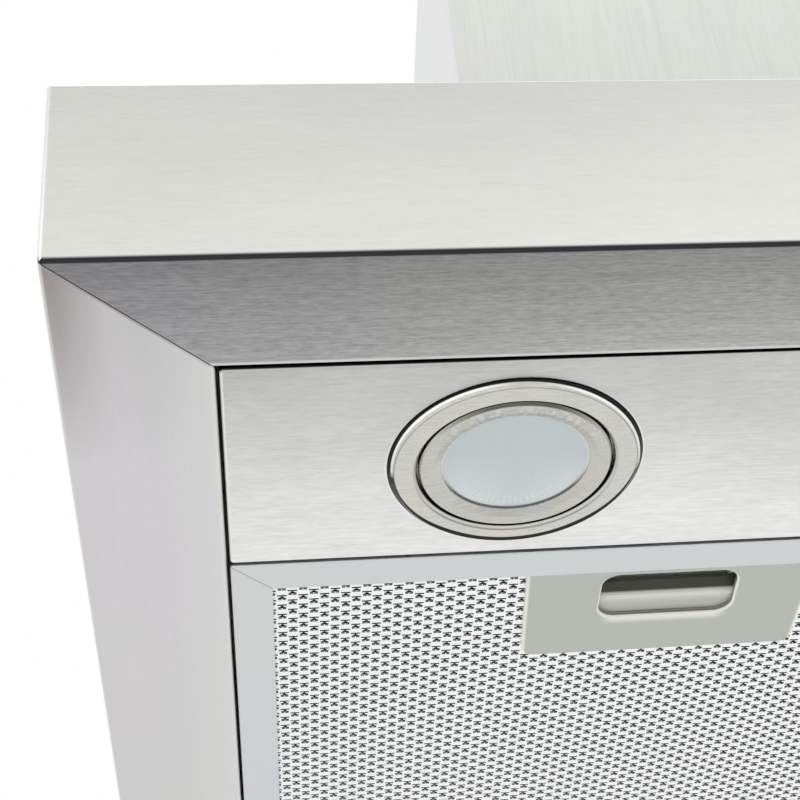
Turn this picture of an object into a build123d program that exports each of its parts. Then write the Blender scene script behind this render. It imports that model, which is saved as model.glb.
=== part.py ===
from build123d import *
import os
from math import cos, pi, sin, sqrt

# A wall mount range hood: pyramid canopy, telescopic chimney, two grease filters, two lamps.
# Millimetres. X runs along the wall, Y into the wall, Z up. While it is drawn, X = 0 is the hood's
# middle, Y = 0 the wall and Z = 0 the canopy's bottom edge. The last lines move everything so that
# the origin is the middle of the four wall bolts.

# Canopy sheet metal
SHEET = 0.8
BEND = 1.2
LIP = 61.0
BORDER = 39.0
UPSTAND = 12.0
MITRE_GAP = 0.3
CORNER = 1.3
CANOPY_TOP = 200.0
TOP_PLATE = 1.0

# Grease filters
FILTER_W = 256.6
FILTER_D = 320.0
FILTER_T = 9.0
FILTER_WALL = 0.8
FRAME_W = 11.6
MESH_GAP = 0.3
LAYERS = 4
LAYER_T = 0.5
TAB_AT = 90.0
TAB_W = 14.0
TAB_OUT = 4.0
TAB_LOW = 3.5
TAB_T = 1.0

# Gaps between the pieces of the underside
SIDE_GAP = 0.8
MID_GAP = 1.4
PANEL_GAP = 1.1
FILTER_GAP = 1.2

# Light panel and lamps
PANEL_D = 82.5
PANEL_H = 15.0
LAMP_IN = 117.2
LAMP_R = 34.5
GROOVE_R = 26.9
GLASS_R = 20.2
LAMP_PROUD = 2.0
SLEEVE_R = 28.7
SLEEVE_H = 14.0
CAN_H = 40.0
LAMP_FIT = 0.3
PANEL_SCREW_DROP = 4.5

# Filter handle and its latch
HANDLE_W = 87.0
HANDLE_D = 42.4
HANDLE_H = 11.0
HANDLE_SKIN = 1.6
TUCK = 9.0
SLOT_W = 41.0
SLOT_D = 21.6
SLOT_IN = 2.2
SLOT_CORNER = 5.5
SLOT_ROUND = 1.0
HANDLE_TAPER = 1.3
HANDLE_CORNER = 4.0
HANDLE_EDGE = 0.9
HANDLE_FIT = 0.2
TONGUE_W = 20.0
TONGUE_OUT = 0.8
TONGUE_LOW = 2.7
TONGUE_HIGH = 1.7
LATCH_FIT = 0.3
LATCH_WALL = 3.0
LATCH_SKIN = 1.2
LATCH_SIDE = 6.0
LATCH_BAR = 3.0
LATCH_LEDGE = 4.0
SPRING_R = 2.4
SPRING_WALL = 0.7

# Chimney
CHIMNEY_W = 320.0
CHIMNEY_D = 258.0
CHIMNEY_TOP = 495.0
CHIMNEY_BEND = 1.5
CHIMNEY_RETURN = 20.0
CHIMNEY_FLANGE = 12.0
CHIMNEY_FIT = 1.0
CHIMNEY_SEAT = 0.3

# Wall fixings
BOLT_X = 200.0
BOLT_Z = 90.0
BOLT_UP = 120.0
BOLT_R = 4.0
BRACKET_BOLTS = 140.0
BRACKET_BOLT_R = 2.75
BRACKET_T = 1.2
BRACKET_H = 24.0

# Blower
BOX_W = 208.0
BOX_BACK = 20.0
BOX_D = 212.0
BOX_TOP = 380.0
BOX_FLANGE = 8.0
BOX_SHEET = 1.0
WHEEL_Y = -97.0
WHEEL_Z = 285.0
WHEEL_R = 65.0
WHEEL_L = 96.0
BLADE_D = 11.0
BLADES = 30
SCROLL_W = 104.0
SCROLL_SHEET = 1.2
SCROLL_R = 70.0
SCROLL_STEP = 7.5
TONGUE_R = 3.0
MOTOR_R = 38.0
MOTOR_L = 46.0
MOUNT_L = 6.0
SHAFT_R = 4.0
SHAFT_FIT = 0.05

# Duct collar and its damper
COLLAR_R = 75.0
COLLAR_WALL = 1.5
COLLAR_H = 50.0
COLLAR_FLANGE = 10.0
FLANGE_T = 2.0
LEDGE = 4.0
FLAP_T = 1.2
FLAP_FIT = 1.0
PIN_R = 1.5
PIN_FIT = 0.05
FRONT_KNUCKLES = [(-60, -40), (20, 38)]
REAR_KNUCKLES = [(-38, -20), (40, 60)]

# Switches
BUTTONS = 5
BUTTON_PITCH = 22.0
BUTTON_R = 5.3
BUTTON_FIT = 0.3
BUTTON_OUT = 3.0
BUTTON_EDGE = 0.9
BUTTON_UP = 30.0
BEZEL_T = 1.6
BEZEL_SIDE = 13.0
BEZEL_RIM = 5.5
SWITCH_SIDE = 9.0
SWITCH_RIM = 5.0
SWITCH_D = 24.0
SWITCH_BORE = 12.0
BUTTON_IN = 8.0

# Wiring box, capacitor and cord gland
GLAND_X = 126.0
GLAND_Y = -24.0
GLAND_BODY = 7.5
CORD_R = 4.5
JUNCTION_X = 122.0
JUNCTION_UP = 88.0
JUNCTION_W = 64.0
JUNCTION_H = 52.0
JUNCTION_D = 28.0
CAPACITOR_R = 16.0
CAPACITOR_L = 60.0
CAPACITOR_X = -190.0
CAPACITOR_UP = 112.0
BAND_T = 1.0

# Screws
SCREW_R = 1.9
SCREW_FIT = 0.1
HEAD_R = 3.5
HEAD_T = 2.0

# Sizes that follow
REAR_GAP = FILTER_GAP
WIDTH = 2 * (BORDER + SIDE_GAP + FILTER_W) + MID_GAP
DEPTH = 2 * BORDER + PANEL_GAP + PANEL_D + FILTER_GAP + FILTER_D + REAR_GAP
FRONT = -DEPTH
PANEL_FRONT = FRONT + BORDER + PANEL_GAP
FILTER_FRONT = PANEL_FRONT + PANEL_D + FILTER_GAP
FILTER_REAR = FILTER_FRONT + FILTER_D
FILTER_X = (FILTER_W + MID_GAP) / 2
LAMP_X = WIDTH / 2 - LAMP_IN
LAMP_Y = PANEL_FRONT + PANEL_D / 2
PANEL_SCREW_UP = UPSTAND - PANEL_SCREW_DROP
HANDLE_FRONT = FILTER_FRONT + FRAME_W
SLOT_Y = HANDLE_FRONT + SLOT_IN + SLOT_D / 2
LATCH_END = SLOT_Y + SLOT_D / 2 + LATCH_LEDGE
BUTTON_SPAN = (BUTTONS - 1) * BUTTON_PITCH / 2 + BUTTON_R
PLATE_LOW = CANOPY_TOP - TOP_PLATE
BOX_FRONT = -BOX_BACK - BOX_D
THROAT_FRONT = WHEEL_Y + TONGUE_R - SCROLL_R - 3 * SCROLL_STEP
COLLAR_Y = (THROAT_FRONT + WHEEL_Y) / 2
MOTOR_FACE = -SCROLL_W / 2 - SCROLL_SHEET - MOUNT_L
PIN_UP = BOX_TOP + FLANGE_T + 14.0
SIDES = {"left": -1, "right": 1}


def block(x0, x1, y0, y1, z0, z1):
    """A box between two corners."""
    size = Box(x1 - x0, y1 - y0, z1 - z0)
    return Pos((x0 + x1) / 2, (y0 + y1) / 2, (z0 + z1) / 2) * size


def rod(radius, start, end, axis="Z"):
    """A cylinder along one axis, from start to a distance along it."""
    turn = {"X": Rot(0, 90, 0), "Y": Rot(-90, 0, 0), "Z": Rot(0, 0, 0)}[axis]
    low = Align.MIN
    return Pos(*start) * turn * Cylinder(radius, end, align=(Align.CENTER, Align.CENTER, low))


def prism(points, z0, z1):
    """A plan outline raised from z0 to z1."""
    face = make_face(Polyline(*points, close=True).edges())
    return Pos(0, 0, z0) * extrude(face, amount=z1 - z0, dir=(0, 0, 1))


def folded(points, thickness, bend, side):
    """The section of a folded sheet, whose outer skin runs through the points."""
    skin = FilletPolyline(*points, radius=bend)
    return make_face(offset(skin, amount=thickness, side=side).edges())


def turned(points, centre):
    """A ring turned about Z from a half section of (radius, height) points."""
    section = make_face(Polyline(*points, close=True).edges())
    return Pos(*centre) * revolve(Plane.XZ * section, Axis.Z)


def mirrored(shape):
    return mirror(shape, Plane.YZ)


# Canopy


def canopy_profile(border_at, lip_at, top_at):
    """Upstand, underside border, lip and slope, run on past the top plate that trims it."""
    rise = (PLATE_LOW - LIP) / (top_at - lip_at)
    past = 3.0
    return [(border_at, UPSTAND), (border_at, 0), (lip_at, 0), (lip_at, LIP),
            (top_at + past, PLATE_LOW + rise * past)]


def rounded_plan():
    """The canopy's plan with its vertical corners rounded."""
    body = block(-WIDTH / 2, WIDTH / 2, FRONT, 0, 0, PLATE_LOW)
    corners = body.edges().filter_by(Axis.Z).group_by(Axis.Y)[0]
    return fillet(corners, CORNER)


def canopy_front():
    points = canopy_profile(FRONT + BORDER, FRONT, -CHIMNEY_D)
    sheet = extrude(Plane.YZ * folded(points, SHEET, BEND, Side.RIGHT), amount=WIDTH / 2, both=True)
    half, inner, gap = WIDTH / 2, BORDER + SHEET, MITRE_GAP / sqrt(2)
    fold = BEND + SHEET
    border = [(-half + gap, FRONT), (half - gap, FRONT), (half - inner - gap, FRONT + inner),
              (-half + inner + gap, FRONT + inner)]
    lip = [(-half, FRONT), (half, FRONT), (half - inner, FRONT + inner),
           (-half + inner, FRONT + inner)]
    slope = [(-half, FRONT), (half, FRONT), (CHIMNEY_W / 2, -CHIMNEY_D), (-CHIMNEY_W / 2, -CHIMNEY_D)]
    room = prism(border, 0, fold) + prism(lip, fold, LIP) + prism(slope, LIP, PLATE_LOW)
    sheet = sheet & room & rounded_plan()
    span = BUTTON_SPAN + 4
    tall = BUTTON_R + 1.5
    sheet -= block(-span, span, FRONT - 1, FRONT + 3, BUTTON_UP - tall, BUTTON_UP + tall)
    for x in panel_screw_places():
        sheet -= rod(SCREW_R + SCREW_FIT, (x, FRONT + BORDER - 4, PANEL_SCREW_UP), 8, "Y")
    return sheet


def canopy_left():
    points = canopy_profile(-WIDTH / 2 + BORDER, -WIDTH / 2, -CHIMNEY_W / 2)
    sheet = extrude(Plane.XZ * folded(points, SHEET, BEND, Side.RIGHT), amount=DEPTH)
    edge, inner, gap = -WIDTH / 2, BORDER + SHEET, MITRE_GAP / sqrt(2)
    fold = BEND + SHEET
    border = [(edge, FRONT + gap), (edge + inner, FRONT + inner + gap),
              (edge + inner, -inner - gap), (edge, -gap)]
    lip = [(edge, FRONT), (edge + inner, FRONT + inner), (edge + inner, -inner), (edge, 0)]
    slope = [(edge, FRONT), (-CHIMNEY_W / 2, -CHIMNEY_D), (-CHIMNEY_W / 2, -SHEET), (edge, -SHEET)]
    room = prism(border, 0, fold) + prism(lip, fold, LIP) + prism(slope, LIP, PLATE_LOW)
    return sheet & room & rounded_plan()


def canopy_right():
    return mirrored(canopy_left())


def canopy_back():
    points = [(-BORDER, UPSTAND), (-BORDER, 0), (0, 0), (0, PLATE_LOW)]
    sheet = extrude(Plane.YZ * folded(points, SHEET, BEND, Side.LEFT), amount=WIDTH / 2, both=True)
    half, inner, gap = WIDTH / 2, BORDER + SHEET, MITRE_GAP / sqrt(2)
    fold = BEND + SHEET
    border = [(-half + gap, 0), (half - gap, 0), (half - inner - gap, -inner),
              (-half + inner + gap, -inner)]
    lip = [(-half, 0), (half, 0), (half - inner, -inner), (-half + inner, -inner)]
    outline = [(-half, LIP), (half, LIP), (CHIMNEY_W / 2, PLATE_LOW), (-CHIMNEY_W / 2, PLATE_LOW)]
    upper = make_face(Polyline(*outline, close=True).edges())
    room = prism(border, 0, fold) + prism(lip, fold, LIP) + extrude(Plane.XZ * upper, amount=inner)
    sheet = sheet & room
    for x in (-BOLT_X / 2, BOLT_X / 2):
        for z in (BOLT_UP - BOLT_Z / 2, BOLT_UP + BOLT_Z / 2):
            sheet -= rod(BOLT_R, (x, -3, z), 6, "Y")
    for side in SIDES.values():
        for tab in (-TAB_AT, TAB_AT):
            x = side * FILTER_X + tab
            room = TAB_W / 2 + 1
            sheet -= block(x - room, x + room, -BORDER - 1, -BORDER + SHEET + 1,
                           TAB_LOW - 0.3, UPSTAND - 3)
    return sheet


def canopy_top():
    half = CHIMNEY_W / 2
    plate = block(-half, half, -CHIMNEY_D, 0, PLATE_LOW, CANOPY_TOP)
    inside = BOX_W / 2 - BOX_SHEET
    plate -= block(-inside, inside, BOX_FRONT + BOX_SHEET, -BOX_BACK - BOX_SHEET,
                   PLATE_LOW - 1, CANOPY_TOP + 1)
    plate -= rod(GLAND_BODY, (GLAND_X, GLAND_Y, PLATE_LOW - 1), TOP_PLATE + 2)
    for x, y in chimney_screw_places() + box_screw_places():
        plate -= rod(SCREW_R + SCREW_FIT, (x, y, PLATE_LOW - 1), TOP_PLATE + 2)
    return plate


# Light panel and lamps


def panel_screw_places():
    return [-WIDTH / 3, -WIDTH / 9, WIDTH / 9, WIDTH / 3]


def light_panel():
    half = WIDTH / 2 - BORDER - SIDE_GAP
    rear = PANEL_FRONT + PANEL_D
    tray = block(-half, half, PANEL_FRONT, rear, 0, PANEL_H)
    tray = fillet(tray.edges().filter_by(Axis.Z), BEND)
    tray = fillet(tray.edges().group_by(Axis.Z)[0], BEND)
    hollow = block(-half + SHEET, half - SHEET, PANEL_FRONT + SHEET, rear - SHEET, SHEET, PANEL_H + 1)
    hollow = fillet(hollow.edges().filter_by(Axis.Z), BEND - SHEET)
    hollow = fillet(hollow.edges().group_by(Axis.Z)[0], BEND - SHEET)
    tray -= hollow
    for side in SIDES.values():
        tray -= rod(SLEEVE_R + LAMP_FIT, (side * LAMP_X, LAMP_Y, -1), 4)
    for x in panel_screw_places():
        tray -= rod(SCREW_R + SCREW_FIT, (x, PANEL_FRONT - 1, PANEL_SCREW_UP), 4, "Y")
    return tray


def panel_screws():
    """Four screws that join the panel's front edge to the border's upstand."""
    start = FRONT + BORDER - SHEET - 2.5
    end = PANEL_FRONT + SHEET
    group = []
    for x in panel_screw_places():
        shank = rod(SCREW_R, (x, start, PANEL_SCREW_UP), end - start, "Y")
        group.append(shank + rod(HEAD_R, (x, end, PANEL_SCREW_UP), HEAD_T, "Y"))
    return group


def lamp_centre(side):
    return (side * LAMP_X, LAMP_Y, 0)


def lamp_ring(side):
    ledge = 3.0
    points = [(GROOVE_R, ledge), (GROOVE_R, -LAMP_PROUD + 0.9), (GROOVE_R + 0.9, -LAMP_PROUD),
              (LAMP_R - 1.6, -LAMP_PROUD), (LAMP_R, -0.5), (LAMP_R, 0), (SLEEVE_R, 0),
              (SLEEVE_R, SLEEVE_H), (GROOVE_R - 1, SLEEVE_H), (GROOVE_R - 1, ledge)]
    return turned(points, lamp_centre(side))


def lamp_bezel(side):
    outer = GROOVE_R - 0.6
    seat = GLASS_R + 1.5
    points = [(outer, 2.8), (outer, -LAMP_PROUD + 1.0), (outer - 0.6, -LAMP_PROUD + 0.4),
              (GLASS_R + 2.4, -LAMP_PROUD + 0.4), (GLASS_R, -0.6), (GLASS_R, 0), (seat, 0),
              (seat, 2.8)]
    return turned(points, lamp_centre(side))


def lamp_lens(side):
    disc = rod(GLASS_R + 1.2, lamp_centre(side), 2.2)
    return fillet(disc.edges().group_by(Axis.Z)[0], 0.6)


def lamp_led(side):
    """The light source, a round puck that rests on the ring's sleeve."""
    x, y, z = lamp_centre(side)
    board = rod(SLEEVE_R - 1.3, (x, y, SLEEVE_H), 2)
    emitter = rod(GLASS_R, (x, y, SLEEVE_H - 2), 2)
    return board + emitter


def lamp_can(side):
    inner = SLEEVE_R - 1
    points = [(inner, SLEEVE_H), (SLEEVE_R, SLEEVE_H), (SLEEVE_R, CAN_H), (0, CAN_H),
              (0, CAN_H - 1), (inner, CAN_H - 1)]
    return turned(points, lamp_centre(side))


def lamp_clips():
    """Two leaf springs on each lamp that press on the panel's upper face."""
    leaf = [(SLEEVE_R, 18), (SLEEVE_R, 30), (SLEEVE_R + 8, SHEET + 0.9), (SLEEVE_R + 12, SHEET + 4)]
    spring = extrude(Plane.XZ * folded(leaf, 0.5, 1.0, Side.RIGHT), amount=4, both=True)
    group = []
    for side in SIDES.values():
        for turn in (0, 180):
            group.append(Pos(*lamp_centre(side)) * Rot(0, 0, turn) * spring)
    return group


# Grease filters. Each is drawn with its middle at X = 0 and moved to its side.


def filter_frame():
    half = FILTER_W / 2
    front, rear, wall = FILTER_FRONT, FILTER_REAR, FILTER_WALL
    ring = block(-half, half, front, rear, 0, FILTER_T)
    ring = fillet(ring.edges().filter_by(Axis.Z), 0.6)
    ring = fillet(ring.edges().group_by(Axis.Z)[0], 0.5)
    ring -= block(-half + FRAME_W, half - FRAME_W, front + FRAME_W, rear - FRAME_W, -1, FILTER_T + 1)
    ring -= block(-half + wall, half - wall, front + wall, rear - wall, wall, FILTER_T - wall)
    groove, deep = 0.18, 0.12
    for x in (-1, 1):
        for y, turn in ((front, 45), (rear, -45)):
            cut = Rot(0, 0, turn * -x) * Box(groove, 2 * FRAME_W * sqrt(2), 2 * deep)
            ring -= Pos(x * half, y, 0) * cut
    for x in (-TAB_AT, TAB_AT):
        ring += block(x - TAB_W / 2, x + TAB_W / 2, rear - wall, rear + TAB_OUT,
                      TAB_LOW, TAB_LOW + TAB_T)
    low, high = tongue_heights()
    room = TONGUE_W / 2 + LATCH_FIT
    ring -= block(-room, room, front - 1, front + wall + 1, low - LATCH_FIT, high + LATCH_FIT)
    return ring


def filter_mesh():
    """The layers of expanded aluminium that the frame's channel holds, each as a plain sheet."""
    inset = FILTER_WALL + MESH_GAP
    half = FILTER_W / 2 - inset
    room = HANDLE_W / 2 + MESH_GAP
    rear = HANDLE_FRONT + HANDLE_D + MESH_GAP
    step = (FILTER_T - 2 * inset - LAYER_T) / (LAYERS - 1)
    layers = []
    for n in range(LAYERS):
        low = inset + n * step
        sheet = block(-half, half, FILTER_FRONT + inset, FILTER_REAR - inset, low, low + LAYER_T)
        layers.append(sheet - block(-room, room, FILTER_FRONT, rear, 0, FILTER_T))
    return layers


def tongue_heights():
    return FILTER_WALL + TONGUE_LOW, FILTER_T - FILTER_WALL - TONGUE_HIGH


def slot_outline(grow):
    """The finger slot's plan, widened by grow all round."""
    face = RectangleRounded(SLOT_W + 2 * grow, SLOT_D + 2 * grow, SLOT_CORNER + grow)
    return Pos(0, SLOT_Y) * face


def latch_room():
    """The hollow inside the handle that the latch slides in: half width, front, rear, low, high."""
    front = HANDLE_FRONT - TUCK + HANDLE_FIT + 0.4
    return (SLOT_W / 2 + LATCH_SIDE, front, HANDLE_FRONT + HANDLE_D - LATCH_WALL,
            FILTER_WALL + LATCH_SKIN, FILTER_T - FILTER_WALL - LATCH_SKIN)


def filter_handle():
    edge = HANDLE_FRONT
    rear = edge + HANDLE_D
    wide, narrow = HANDLE_W / 2, HANDLE_W / 2 - HANDLE_TAPER
    plan = [(-wide, edge + 0.1), (wide, edge + 0.1), (narrow, rear), (-narrow, rear)]
    body = prism(plan, 0, HANDLE_H)
    body = fillet(body.edges().filter_by(Axis.Z).group_by(Axis.Y)[-1], HANDLE_CORNER)
    rim = body.faces().sort_by(Axis.Z)[0].edges().filter_by(lambda e: e.center().Y > edge + 1)
    body = fillet(rim, HANDLE_EDGE)
    low, high = FILTER_WALL + HANDLE_FIT, FILTER_T - FILTER_WALL - HANDLE_FIT
    body += block(-wide, wide, edge - TUCK, edge + 0.2, low, high)
    half, front, back, bottom, top = latch_room()
    body -= block(-half, half, front, back, bottom, top)
    body -= extrude(slot_outline(0), amount=HANDLE_H - HANDLE_SKIN)
    mouth = [e for e in body.edges() if abs(e.center().Z) < 1e-6 and inside_slot(e)]
    body = fillet(mouth, SLOT_ROUND)
    room = TONGUE_W / 2 + LATCH_FIT
    low, high = tongue_heights()
    body -= block(-room, room, edge - TUCK - 1, front + 1, low - LATCH_FIT, high + LATCH_FIT)
    return body


def inside_slot(edge):
    at = edge.center()
    return abs(at.X) < SLOT_W / 2 + 1 and abs(at.Y - SLOT_Y) < SLOT_D / 2 + 1


def latch():
    """The sprung slide: front bar with its tongue, two rails and the sloped finger ledge."""
    half, front, back, low, high = latch_room()
    half -= LATCH_FIT
    low += LATCH_FIT
    high -= LATCH_FIT
    start = front + LATCH_FIT
    rail = half - SLOT_W / 2 - 0.6
    slide = block(-half, half, start, start + LATCH_BAR, low, high)
    for x in (-1, 1):
        near, far = sorted((x * half, x * (half - rail)))
        slide += block(near, far, start, LATCH_END, low, high)
    wedge = [(LATCH_END, low), (SLOT_Y + 4, low), (SLOT_Y, high - 1), (SLOT_Y, high), (LATCH_END, high)]
    ledge = make_face(Polyline(*wedge, close=True).edges())
    slide += extrude(Plane.YZ * ledge, amount=half, both=True)
    low, high = tongue_heights()
    slide += block(-TONGUE_W / 2, TONGUE_W / 2, FILTER_FRONT - TONGUE_OUT, start + 1, low, high)
    return slide


def latch_spring():
    """The latch's coil spring, between the ledge and the handle's rear wall."""
    half, front, back, low, high = latch_room()
    height = (low + high) / 2
    radius = min(SPRING_R, (high - low) / 2 - 0.1)
    tube = rod(radius, (0, LATCH_END, height), back - LATCH_END, "Y")
    return tube - rod(radius - SPRING_WALL, (0, LATCH_END - 1, height), back - LATCH_END + 2, "Y")


# Chimney


def chimney_section(inset, back, inward):
    """A U of folded sheet, open to the wall between its two narrow returns."""
    half = CHIMNEY_W / 2 - inset
    front = -CHIMNEY_D + inset
    points = [(-half + inward, back), (-half, back), (-half, front), (half, front), (half, back),
              (half - inward, back)]
    return folded(points, SHEET, CHIMNEY_BEND, Side.LEFT)


def lower_chimney():
    cover = extrude(chimney_section(0, 0, CHIMNEY_RETURN), amount=CHIMNEY_TOP - CANOPY_TOP)
    cover = Pos(0, 0, CANOPY_TOP) * cover
    half, wall = CHIMNEY_W / 2, SHEET / 2
    inner = half - CHIMNEY_FLANGE
    ring = block(-half + wall, half - wall, -CHIMNEY_D + wall, -CHIMNEY_RETURN,
                 CANOPY_TOP, CANOPY_TOP + SHEET)
    ring -= block(-inner, inner, -CHIMNEY_D + CHIMNEY_FLANGE, 0, CANOPY_TOP - 1, CANOPY_TOP + 2)
    cover += ring
    for x, y in chimney_screw_places():
        cover -= rod(SCREW_R + SCREW_FIT, (x, y, CANOPY_TOP - 1), 3)
    return cover


def chimney_screw_places():
    x = CHIMNEY_W / 2 - CHIMNEY_FLANGE / 2 - 0.6
    return [(side * x, y) for side in (-1, 1) for y in (-CHIMNEY_D + 40, -50)]


def chimney_screws():
    """Screws from inside the canopy that hold the lower cover down on the top plate."""
    group = []
    for x, y in chimney_screw_places():
        shank = rod(SCREW_R, (x, y, PLATE_LOW), 6.5)
        group.append(shank + rod(HEAD_R, (x, y, PLATE_LOW - HEAD_T), HEAD_T))
    return group


def upper_bottom():
    return CANOPY_TOP + SHEET + CHIMNEY_SEAT


def upper_top():
    return CHIMNEY_TOP - 1.0


def upper_inset():
    return SHEET + CHIMNEY_FIT


def upper_chimney():
    section = chimney_section(upper_inset(), -upper_inset(), CHIMNEY_RETURN)
    cover = Pos(0, 0, upper_bottom()) * extrude(section, amount=upper_top() - upper_bottom())
    for x, z in rivet_places():
        cover -= rod(SCREW_R, (x, -upper_inset() - SHEET - 1, z), 4, "Y")
    return cover


def upper_bracket():
    """The strap at the top of the upper cover, stepped back to the wall between its ends."""
    end = CHIMNEY_W / 2 - upper_inset() - CHIMNEY_BEND - 0.3
    low = -upper_inset() - SHEET
    step = CHIMNEY_W / 2 - upper_inset() - CHIMNEY_RETURN - 6
    points = [(-end, low), (-step, low), (-step + 6, 0), (step - 6, 0), (step, low), (end, low)]
    strap = extrude(folded(points, BRACKET_T, 1.5, Side.RIGHT), amount=BRACKET_H)
    strap = Pos(0, 0, upper_top() - BRACKET_H - 1) * strap
    middle = upper_top() - 1 - BRACKET_H / 2
    for x in (-BRACKET_BOLTS / 2, BRACKET_BOLTS / 2):
        strap -= rod(BRACKET_BOLT_R, (x, -BRACKET_T - 1, middle), BRACKET_T + 2, "Y")
    for x, z in rivet_places():
        strap -= rod(SCREW_R, (x, low - BRACKET_T - 1, z), BRACKET_T + 2, "Y")
    return strap


def rivet_places():
    x = CHIMNEY_W / 2 - upper_inset() - CHIMNEY_RETURN / 2
    middle = upper_top() - 1 - BRACKET_H / 2
    return [(side * x, middle + lift) for side in (-1, 1) for lift in (-6, 6)]


def bracket_rivets():
    front = -upper_inset() - SHEET - BRACKET_T
    group = []
    for x, z in rivet_places():
        shank = rod(SCREW_R, (x, front, z), SHEET + BRACKET_T, "Y")
        group.append(shank + rod(HEAD_R, (x, front - 1.2, z), 1.2, "Y"))
    return group


# Blower


def blower_box():
    """The sheet box over the canopy's opening, with the throat's hole in its roof."""
    half = BOX_W / 2
    front, back = BOX_FRONT, -BOX_BACK
    box = block(-half, half, front, back, CANOPY_TOP, BOX_TOP)
    box += block(-half - BOX_FLANGE, half + BOX_FLANGE, front - BOX_FLANGE, back + BOX_FLANGE,
                 CANOPY_TOP, CANOPY_TOP + BOX_SHEET)
    box -= block(-half + BOX_SHEET, half - BOX_SHEET, front + BOX_SHEET, back - BOX_SHEET,
                 CANOPY_TOP - 1, BOX_TOP - BOX_SHEET)
    inside = SCROLL_W / 2
    box -= block(-inside, inside, THROAT_FRONT, WHEEL_Y, BOX_TOP - 2, BOX_TOP + 1)
    for x, y in box_screw_places():
        box -= rod(SCREW_R + SCREW_FIT, (x, y, CANOPY_TOP - 1), 3)
    for x, y in collar_screw_places():
        box -= rod(SCREW_R + SCREW_FIT, (x, y, BOX_TOP - 2), 3)
    return box


def box_screw_places():
    x = BOX_W / 2 + BOX_FLANGE / 2
    return [(side * x, y) for side in (-1, 1) for y in (BOX_FRONT + 15, -BOX_BACK - 25)]


def collar_screw_places():
    """Four places on the flange's screw circle, at 45 degrees or clear of the volute's cheeks."""
    reach = COLLAR_R + COLLAR_FLANGE / 2
    beside = SCROLL_W / 2 + SCROLL_SHEET + SCREW_R + 1
    x = max(reach * cos(pi / 4), beside)
    y = sqrt(reach ** 2 - x ** 2)
    return [(sx * x, COLLAR_Y + sy * y) for sx in (-1, 1) for sy in (-1, 1)]


def blower_screws():
    """Screws of the box's flange and of the duct collar's flange."""
    group = []
    for x, y in box_screw_places():
        shank = rod(SCREW_R, (x, y, PLATE_LOW - 2), TOP_PLATE + 2 + BOX_SHEET)
        group.append(shank + rod(HEAD_R, (x, y, CANOPY_TOP + BOX_SHEET), HEAD_T))
    for x, y in collar_screw_places():
        shank = rod(SCREW_R, (x, y, BOX_TOP - 3), 3 + FLANGE_T)
        group.append(shank + rod(HEAD_R, (x, y, BOX_TOP + FLANGE_T), HEAD_T))
    return group


def scroll_line(grow):
    """The volute: throat wall, tongue, three quarter turns that widen, and the front wall."""
    top = BOX_TOP - BOX_SHEET - WHEEL_Z
    first = SCROLL_R + grow
    down = Line((grow, top), (grow, SCROLL_R + TONGUE_R))
    tongue = JernArc(down @ 1, (0, -1), TONGUE_R - grow, 90)
    one = JernArc(tongue @ 1, (1, 0), first, -90)
    two = JernArc(one @ 1, (0, -1), first + SCROLL_STEP, -90)
    three = JernArc(two @ 1, (-1, 0), first + 2 * SCROLL_STEP, -90)
    up = Line(three @ 1, ((three @ 1).X, top))
    return Curve() + [down, tongue, one, two, three, up]


def wheel_plane(x):
    """A plane across the wheel's axis, with its own X towards the wall and its Y up."""
    return Plane(origin=(x, WHEEL_Y, WHEEL_Z), x_dir=(0, 1, 0), z_dir=(1, 0, 0))


def scroll_face(grow):
    line = scroll_line(grow)
    top = BOX_TOP - BOX_SHEET - WHEEL_Z
    lid = Line(line.edges()[-1] @ 1, (grow, top))
    return make_face(line.edges() + lid.edges())


def scroll_wrap():
    inside = scroll_face(0)
    outside = scroll_face(SCROLL_SHEET)
    return extrude(wheel_plane(0) * (outside - inside), amount=SCROLL_W / 2, both=True)


def scroll_side(side):
    """A flat cheek of the volute, with the round air inlet and its rolled rim."""
    inlet = WHEEL_R - BLADE_D - 2
    start = side * SCROLL_W / 2
    cheek = extrude(wheel_plane(start) * scroll_face(SCROLL_SHEET), amount=side * SCROLL_SHEET)
    cheek -= rod(inlet, (start - 5, WHEEL_Y, WHEEL_Z), 10, "X")
    if side < 0:
        for y, z in mount_places():
            cheek -= rod(2.5, (start - 5, y, z), 10, "X")
    return cheek


def mount_places():
    reach = WHEEL_R - 4
    angles = (pi / 2, pi * 7 / 6, pi * 11 / 6)
    return [(WHEEL_Y + reach * cos(a), WHEEL_Z + reach * sin(a)) for a in angles]


def motor_mounts():
    """Rubber bushes between the motor's bracket and the volute's cheek."""
    cheek = -SCROLL_W / 2 - SCROLL_SHEET
    group = []
    for y, z in mount_places():
        bush = rod(5, (MOTOR_FACE, y, z), MOUNT_L, "X")
        group.append(bush + rod(2.5, (cheek, y, z), SCROLL_SHEET, "X"))
    return group


def motor_bracket():
    thick = 1.5
    start = MOTOR_FACE - thick
    plate = rod(16, (start, WHEEL_Y, WHEEL_Z), thick, "X")
    for y, z in mount_places():
        arm = Box(thick, (WHEEL_R + 2), 10, align=(Align.MIN, Align.MIN, Align.CENTER))
        angle = Vector(0, 1, 0).get_signed_angle(Vector(0, y - WHEEL_Y, z - WHEEL_Z), Vector(1, 0, 0))
        plate += Pos(start, WHEEL_Y, WHEEL_Z) * Rot(angle, 0, 0) * arm
    return plate


def motor():
    body = rod(MOTOR_R, (MOTOR_FACE, WHEEL_Y, WHEEL_Z), MOTOR_L, "X")
    body = fillet(body.edges(), 4)
    return body - rod(SHAFT_R + SHAFT_FIT, (MOTOR_FACE + 6, WHEEL_Y, WHEEL_Z), MOTOR_L, "X")


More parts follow.
